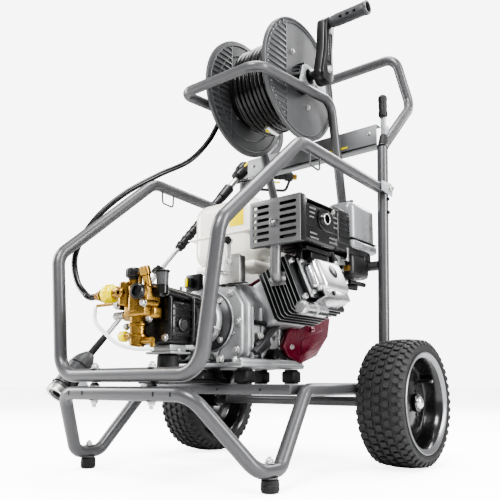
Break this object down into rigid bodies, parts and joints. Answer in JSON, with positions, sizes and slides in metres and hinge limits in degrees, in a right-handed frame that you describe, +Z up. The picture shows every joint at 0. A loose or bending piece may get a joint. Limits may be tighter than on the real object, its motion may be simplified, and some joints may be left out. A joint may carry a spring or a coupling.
{
  "type": "pressure washer",
  "caption": "Petrol cold-water pressure washer on a two-wheeled tubular steel trolley, with pump, engine, crank hose reel and stowed spray gun.",
  "frame": {"origin": "centre of the footprint, on the floor", "axes": "+X the machine's left side, with the reel's crank; +Y its rear, with the wheels and the handle; -Y its front, with the pump; +Z up"},
  "size_m": [0.74, 0.8885, 1.1718],
  "materials": {
    "tube_paint": "satin grey metallic paint",
    "panel_grey": "satin light grey paint",
    "rubber": "matt black rubber",
    "tyre": "matt tyre rubber",
    "rim_black": "gloss black paint",
    "cast_alloy": "as cast",
    "black_metal": "satin black heat-proof paint",
    "bright_steel": "bright",
    "brass": "machined and cast brass",
    "yellow": "moulded",
    "maroon": "gloss",
    "tank_white": "gloss",
    "black_plastic": "moulded",
    "grey_plastic": "moulded",
    "hose_black": "satin",
    "clear_tube": "translucent"
  },
  "bodies": {
    "frame": {"air_cleaner_base": "black_plastic", "air_cleaner_cover": "grey_plastic", "axle": "tube_paint", "base_tube": "tube_paint", "bleed_tube": "clear_tube", "bumper_spacer_left": "rubber", "bumper_spacer_right": "rubber", "cage_tube": "tube_paint", "carburettor": "cast_alloy", "crankcase": "cast_alloy", "cylinder_block": "cast_alloy", "engine_mount_1": "rubber", "engine_mount_2": "rubber", "engine_mount_3": "rubber", "engine_mount_4": "rubber", "exhaust_elbow": "black_metal", "fan_cover": "maroon", "foot_left": "rubber", "foot_right": "rubber", "front_cross_rail": "tube_paint", "fuel_tank": "tank_white", "gun_body": "black_plastic", "handle_tube": "tube_paint", "hook_grip": "rubber", "hose_hook": "panel_grey", "lance": "bright_steel", "link_hose": "hose_black", "middle_cross_rail": "tube_paint", "muffler": "black_metal", "muffler_guard": "black_metal", "pump_adapter": "black_metal", "pump_bracket": "black_metal", "pump_crankcase": "black_metal", "pump_manifold": "brass", "quiver": "grey_plastic", "rear_cross_panel": "panel_grey", "rear_crossbar": "tube_paint", "reel_hoop": "tube_paint", "reel_plate_left": "panel_grey", "reel_plate_right": "panel_grey", "spark_plug_cap": "rubber", "valve_cover": "bright_steel"},
    "wheel_left": {"tyre_left": "tyre", "rim_left": "rim_black"},
    "wheel_right": {"tyre_right": "tyre", "rim_right": "rim_black"},
    "engine_shaft": {"crankshaft": "bright_steel"},
    "reel": {"reel_drum": "black_plastic", "reel_flange_left": "grey_plastic", "reel_flange_right": "grey_plastic", "hose_coil": "hose_black", "crank_arm": "black_plastic"},
    "crank_handle": {"crank_grip": "black_plastic"},
    "fuel_cap": {"tank_cap": "black_plastic"},
    "throttle": {"throttle_lever": "black_metal"},
    "stop_switch": {"engine_switch": "black_plastic"},
    "starter": {"starter_grip": "black_plastic"},
    "pressure_dial": {"pressure_knob": "black_plastic"},
    "hose_coupling": {"outlet_coupling": "yellow"},
    "gun_trigger": {"trigger": "yellow"}
  },
  "joints": [
    {"name": "wheel_left_spin", "type": "hinge", "parent": "frame", "child": "wheel_left", "pos_m": [0.314, 0.168, 0.15], "axis": [1, 0, 0], "continuous": true},
    {"name": "wheel_right_spin", "type": "hinge", "parent": "frame", "child": "wheel_right", "pos_m": [-0.314, 0.168, 0.15], "axis": [1, 0, 0], "continuous": true},
    {"name": "crankshaft_spin", "type": "hinge", "parent": "frame", "child": "engine_shaft", "pos_m": [0, -0.07, 0.335], "axis": [0, 1, 0], "continuous": true},
    {"name": "reel_spin", "type": "hinge", "parent": "frame", "child": "reel", "pos_m": [0, 0.067, 0.993], "axis": [1, 0, 0], "continuous": true},
    {"name": "crank_grip_spin", "type": "hinge", "parent": "reel", "child": "crank_handle", "pos_m": [0.1835, 0.0814, 1.1302], "axis": [1, 0, 0], "continuous": true},
    {"name": "fuel_cap_turn", "type": "hinge", "parent": "frame", "child": "fuel_cap", "pos_m": [-0.08, 0.06, 0.675], "axis": [0, 0, 1], "range_deg": [0, 90]},
    {"name": "throttle_turn", "type": "hinge", "parent": "frame", "child": "throttle", "pos_m": [0.062, -0.184, 0.466], "axis": [0, 1, 0], "range_deg": [0, 35]},
    {"name": "stop_switch_turn", "type": "hinge", "parent": "frame", "child": "stop_switch", "pos_m": [-0.06, -0.184, 0.43], "axis": [0, 1, 0], "range_deg": [0, 45]},
    {"name": "starter_pull", "type": "slide", "parent": "frame", "child": "starter", "axis": [-1, 0, 0], "range_m": [0, 0.12], "stiffness_N_per_m": 60, "springref_m": -0.02},
    {"name": "pressure_knob_turn", "type": "hinge", "parent": "frame", "child": "pressure_dial", "pos_m": [-0.01, -0.3944, 0.416], "axis": [0, 0, 1], "range_deg": [0, 270]},
    {"name": "hose_coupling_turn", "type": "hinge", "parent": "frame", "child": "hose_coupling", "pos_m": [-0.09, -0.3944, 0.381], "axis": [1, 0, 0], "range_deg": [0, 360]},
    {"name": "trigger_pull", "type": "hinge", "parent": "frame", "child": "gun_trigger", "pos_m": [-0.248, 0.3481, 0.8611], "axis": [0.7315, -0.6819, 0], "range_deg": [0, 6], "stiffness_Nm_per_rad": 0.5, "springref_deg": -5.73}
  ]
}
